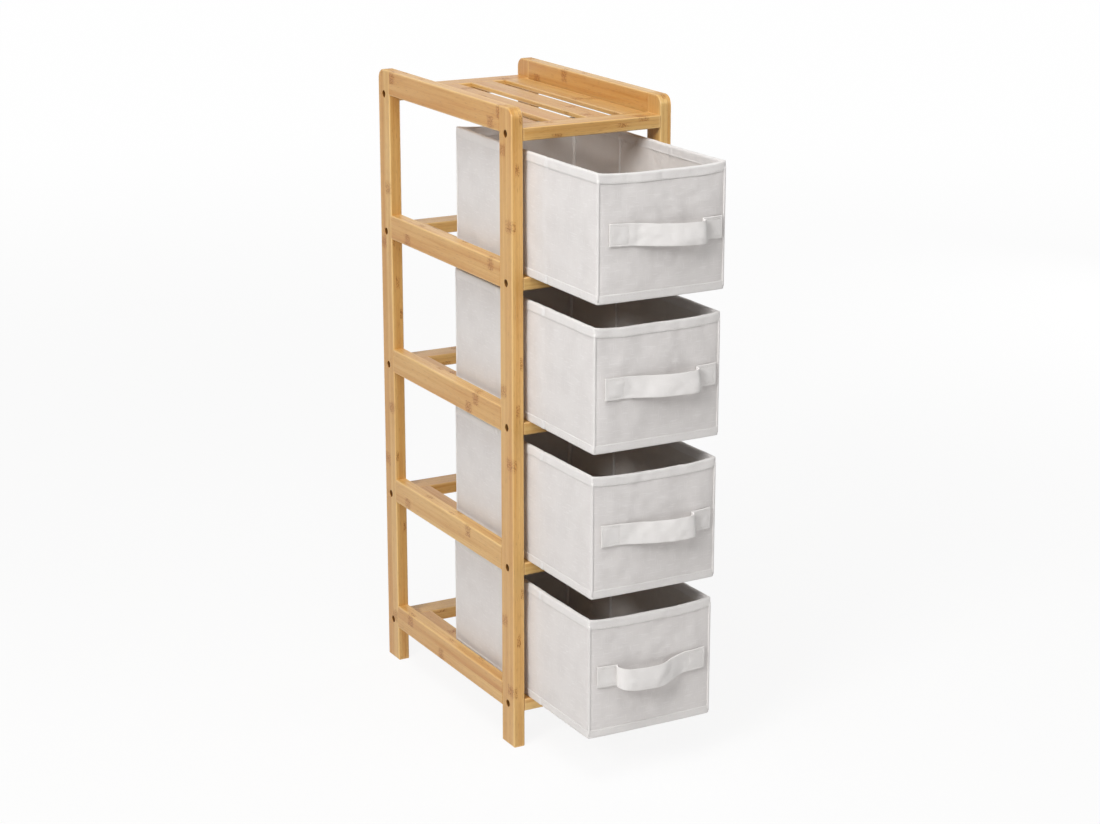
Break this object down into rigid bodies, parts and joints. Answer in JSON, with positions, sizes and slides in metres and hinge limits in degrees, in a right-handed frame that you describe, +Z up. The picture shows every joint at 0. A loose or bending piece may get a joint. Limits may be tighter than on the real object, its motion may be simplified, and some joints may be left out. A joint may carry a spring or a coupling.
{
  "type": "shelf unit with drawers",
  "caption": "Narrow freestanding bamboo shelf unit with raised top rails and pull-out fabric drawers with strap handles on open shelves.",
  "frame": {"origin": "on the floor, under the middle of the unit's bounding box with its drawers pulled out as pictured", "axes": "+Z up, +X to the right seen from the front, drawers pull out along -Y"},
  "size_m": [0.244, 0.607, 0.9],
  "materials": {
    "bamboo": "clear satin lacquer on laminated bamboo",
    "bolt_steel": "dull dark zinc",
    "insert_steel": "zinc plated",
    "cover_fabric": "off-white linen-look woven fabric",
    "stiff_board": "raw stiff board",
    "lining_fabric": "off-white non-woven lining",
    "band_fabric": "off-white folded woven band",
    "strap_fabric": "off-white folded woven strap"
  },
  "bodies": {
    "rack": {"post_front_left": "bamboo", "post_front_right": "bamboo", "post_rear_left": "bamboo", "post_rear_right": "bamboo", "side_rail_left_1": "bamboo", "side_rail_left_2": "bamboo", "side_rail_left_3": "bamboo", "side_rail_left_4": "bamboo", "side_rail_left_5": "bamboo", "side_rail_right_1": "bamboo", "side_rail_right_2": "bamboo", "side_rail_right_3": "bamboo", "side_rail_right_4": "bamboo", "side_rail_right_5": "bamboo", "cross_rail_front_1": "bamboo", "cross_rail_rear_1": "bamboo", "slat_1_1": "bamboo", "slat_1_4": "bamboo", "cross_rail_front_2": "bamboo", "cross_rail_rear_2": "bamboo", "slat_2_1": "bamboo", "slat_2_4": "bamboo", "cross_rail_front_3": "bamboo", "cross_rail_rear_3": "bamboo", "slat_3_1": "bamboo", "slat_3_4": "bamboo", "cross_rail_front_4": "bamboo", "cross_rail_rear_4": "bamboo", "slat_4_1": "bamboo", "slat_4_4": "bamboo", "cross_rail_front_5": "bamboo", "cross_rail_rear_5": "bamboo", "slat_5_1": "bamboo", "slat_5_2": "bamboo", "slat_5_3": "bamboo", "slat_5_4": "bamboo", "bolts": "bolt_steel", "threaded_inserts": "insert_steel"},
    "drawer_1": {"drawer_1_cover": "cover_fabric", "drawer_1_boards": "stiff_board", "drawer_1_lining": "lining_fabric", "drawer_1_rim_binding": "band_fabric", "drawer_1_handle": "strap_fabric"},
    "drawer_2": {"drawer_2_cover": "cover_fabric", "drawer_2_boards": "stiff_board", "drawer_2_lining": "lining_fabric", "drawer_2_rim_binding": "band_fabric", "drawer_2_handle": "strap_fabric"},
    "drawer_3": {"drawer_3_cover": "cover_fabric", "drawer_3_boards": "stiff_board", "drawer_3_lining": "lining_fabric", "drawer_3_rim_binding": "band_fabric", "drawer_3_handle": "strap_fabric"},
    "drawer_4": {"drawer_4_cover": "cover_fabric", "drawer_4_boards": "stiff_board", "drawer_4_lining": "lining_fabric", "drawer_4_rim_binding": "band_fabric", "drawer_4_handle": "strap_fabric"}
  },
  "joints": [
    {"name": "drawer_1_slide", "type": "slide", "parent": "rack", "child": "drawer_1", "axis": [0, -1, 0], "range_m": [-0.184, 0.06]},
    {"name": "drawer_2_slide", "type": "slide", "parent": "rack", "child": "drawer_2", "axis": [0, -1, 0], "range_m": [-0.177, 0.06]},
    {"name": "drawer_3_slide", "type": "slide", "parent": "rack", "child": "drawer_3", "axis": [0, -1, 0], "range_m": [-0.173, 0.06]},
    {"name": "drawer_4_slide", "type": "slide", "parent": "rack", "child": "drawer_4", "axis": [0, -1, 0], "range_m": [-0.167, 0.06]}
  ]
}
